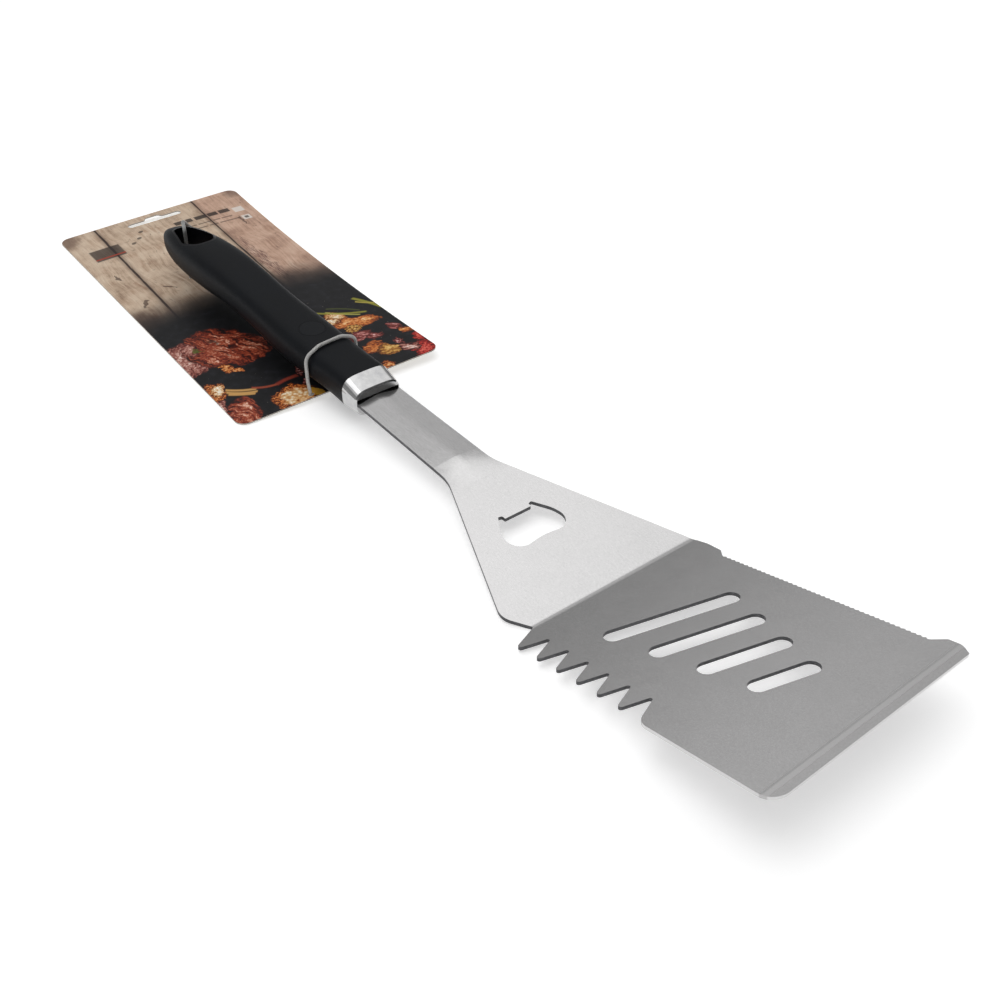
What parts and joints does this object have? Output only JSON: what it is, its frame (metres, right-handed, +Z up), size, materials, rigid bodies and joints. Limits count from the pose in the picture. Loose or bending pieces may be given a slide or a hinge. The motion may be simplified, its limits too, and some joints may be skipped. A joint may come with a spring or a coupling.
{
  "type": "grill spatula",
  "caption": "Stainless grill spatula with slotted blade, toothed and serrated sides, bottle opener, black grip and chrome ferrule, tied to a printed hanging card.",
  "frame": {"origin": "under the middle of the whole box, on the table that the spatula and its card lie on", "axes": "+X along the tool towards the front edge of the blade, +Y across towards the serrated side, +Z up"},
  "size_m": [0.5034, 0.1142, 0.0304],
  "materials": {
    "blade_steel": "fine brushed satin",
    "black_core": "satin black",
    "soft_grip": "matte soft-touch black",
    "cover_plastic": "satin black",
    "ferrule_chrome": "polished",
    "screw_steel": "zinc plated",
    "printed_card": "glossy print",
    "front_tie_plastic": "light grey plastic",
    "rear_tie_plastic": "grey plastic",
    "tie_wire_steel": "drawn wire"
  },
  "bodies": {
    "root": {"steel_head": "blade_steel", "handle_core": "black_core", "grip_sleeve": "soft_grip", "screw_cover": "cover_plastic", "ferrule": "ferrule_chrome", "tang_screw": "screw_steel", "backing_card": "printed_card", "front_tie": "front_tie_plastic", "front_tie_wire": "tie_wire_steel", "rear_tie": "rear_tie_plastic", "rear_tie_wire": "tie_wire_steel"}
  },
  "joints": []
}
